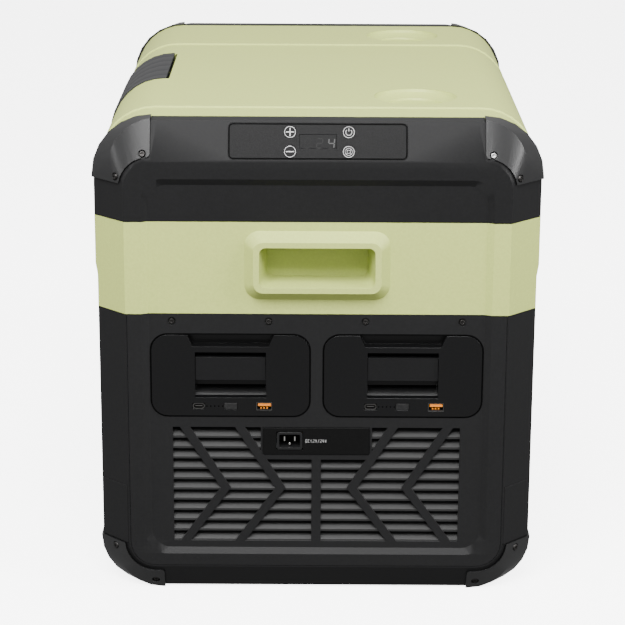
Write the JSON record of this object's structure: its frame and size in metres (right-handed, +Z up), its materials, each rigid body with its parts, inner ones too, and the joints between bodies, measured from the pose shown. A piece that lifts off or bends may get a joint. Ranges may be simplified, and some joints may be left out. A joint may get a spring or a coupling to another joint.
{
  "type": "compressor cooler fridge",
  "caption": "Long portable compressor fridge with a recessed green lid, pocket handles, screwed corner guards, slide-in batteries and a louvred vent at the control end.",
  "frame": {"origin": "middle of the footprint, on the ground under the lower corner guards", "axes": "+Z up, -Y towards the control panel, batteries and vent, +X towards the lid's hinge side"},
  "size_m": [0.4146, 0.585, 0.457],
  "materials": {
    "black_shell": "satin",
    "black_gloss": "gloss",
    "green_plastic": "satin",
    "grey_plastic": "satin",
    "white_plastic": "satin",
    "orange_plastic": "satin",
    "insulating_foam": "matte",
    "seal_rubber": "matte",
    "steel": "satin",
    "dark_screw_steel": "satin",
    "aluminium": "satin",
    "copper": "satin",
    "black_enamel": "gloss",
    "circuit_board": "satin"
  },
  "bodies": {
    "cabinet": {"battery_bay": "black_shell", "compressor": "black_enamel", "condenser": "aluminium", "control_fascia": "black_gloss", "corner_insert_left": "black_shell", "corner_insert_right": "black_shell", "cover_screw_1": "dark_screw_steel", "cover_screw_2": "dark_screw_steel", "cover_screw_3": "dark_screw_steel", "cover_screw_4": "dark_screw_steel", "discharge_pipe": "copper", "display_board": "black_gloss", "evaporator_plate": "aluminium", "fan_frame": "black_shell", "foam_jacket": "insulating_foam", "front_cover": "black_shell", "guard_screw_left_1": "dark_screw_steel", "guard_screw_left_2": "dark_screw_steel", "guard_screw_right_1": "dark_screw_steel", "guard_screw_right_2": "dark_screw_steel", "hinge_pin_front": "steel", "hinge_pin_rear": "steel", "inlet_pins": "steel", "inlet_plate": "black_gloss", "inlet_socket": "black_shell", "inner_liner": "white_plastic", "lower_guard_front_left": "black_shell", "lower_guard_front_right": "black_shell", "lower_guard_rear_left": "black_shell", "lower_guard_rear_right": "black_shell", "lower_shell": "black_shell", "mid_band": "green_plastic", "power_board": "circuit_board", "suction_pipe": "copper", "upper_frame": "black_shell", "upper_guard_front_left": "black_shell", "upper_guard_front_right": "black_shell", "upper_guard_rear_left": "black_shell", "upper_guard_rear_right": "black_shell"},
    "lid": {"lid_cover": "green_plastic", "lid_liner": "white_plastic", "lid_gasket": "seal_rubber", "latch_pin": "steel"},
    "latch_lever": {"latch_lever": "grey_plastic"},
    "battery_left": {"battery_left_case": "black_gloss", "battery_left_usb_a": "orange_plastic", "battery_left_usb_c": "steel"},
    "battery_left_latch": {"battery_left_latch": "black_gloss"},
    "battery_left_button": {"battery_left_button": "grey_plastic"},
    "battery_right": {"battery_right_case": "black_gloss", "battery_right_usb_a": "orange_plastic", "battery_right_usb_c": "steel"},
    "battery_right_latch": {"battery_right_latch": "black_gloss"},
    "battery_right_button": {"battery_right_button": "grey_plastic"},
    "key_plus": {"key_plus": "black_gloss"},
    "key_minus": {"key_minus": "black_gloss"},
    "key_power": {"key_power": "black_gloss"},
    "key_eco": {"key_eco": "black_gloss"},
    "fan_rotor": {"fan_rotor": "black_shell"}
  },
  "joints": [
    {"name": "lid_hinge", "type": "hinge", "parent": "cabinet", "child": "lid", "pos_m": [0.2035, 0, 0.402], "axis": [0, 1, 0], "range_deg": [0, 100]},
    {"name": "latch_pivot", "type": "hinge", "parent": "lid", "child": "latch_lever", "pos_m": [-0.1525, 0, 0.45295], "axis": [0, 1, 0], "range_deg": [0, 40], "stiffness_Nm_per_rad": 0.4},
    {"name": "battery_left_slide", "type": "slide", "parent": "cabinet", "child": "battery_left", "axis": [0, -1, 0], "range_m": [0, 0.105]},
    {"name": "battery_left_latch_pivot", "type": "hinge", "parent": "battery_left", "child": "battery_left_latch", "pos_m": [-0.08, -0.2768, 0.2312], "axis": [-1, 0, 0], "range_deg": [0, 35], "stiffness_Nm_per_rad": 0.05},
    {"name": "battery_left_button_press", "type": "slide", "parent": "battery_left", "child": "battery_left_button", "axis": [0, 1, 0], "range_m": [0, 0.0006], "stiffness_N_per_m": 600},
    {"name": "battery_right_slide", "type": "slide", "parent": "cabinet", "child": "battery_right", "axis": [0, -1, 0], "range_m": [0, 0.105]},
    {"name": "battery_right_latch_pivot", "type": "hinge", "parent": "battery_right", "child": "battery_right_latch", "pos_m": [0.08, -0.2768, 0.2312], "axis": [-1, 0, 0], "range_deg": [0, 35], "stiffness_Nm_per_rad": 0.05},
    {"name": "battery_right_button_press", "type": "slide", "parent": "battery_right", "child": "battery_right_button", "axis": [0, 1, 0], "range_m": [0, 0.0006], "stiffness_N_per_m": 600},
    {"name": "key_plus_press", "type": "slide", "parent": "cabinet", "child": "key_plus", "axis": [0, 0.9452, -0.3264], "range_m": [0, 0.0005], "stiffness_N_per_m": 600},
    {"name": "key_minus_press", "type": "slide", "parent": "cabinet", "child": "key_minus", "axis": [0, 0.9452, -0.3264], "range_m": [0, 0.0005], "stiffness_N_per_m": 600},
    {"name": "key_power_press", "type": "slide", "parent": "cabinet", "child": "key_power", "axis": [0, 0.9452, -0.3264], "range_m": [0, 0.0005], "stiffness_N_per_m": 600},
    {"name": "key_eco_press", "type": "slide", "parent": "cabinet", "child": "key_eco", "axis": [0, 0.9452, -0.3264], "range_m": [0, 0.0005], "stiffness_N_per_m": 600},
    {"name": "fan_spin", "type": "hinge", "parent": "cabinet", "child": "fan_rotor", "pos_m": [-0.073, -0.2298, 0.087], "axis": [0, 1, 0], "continuous": true}
  ]
}
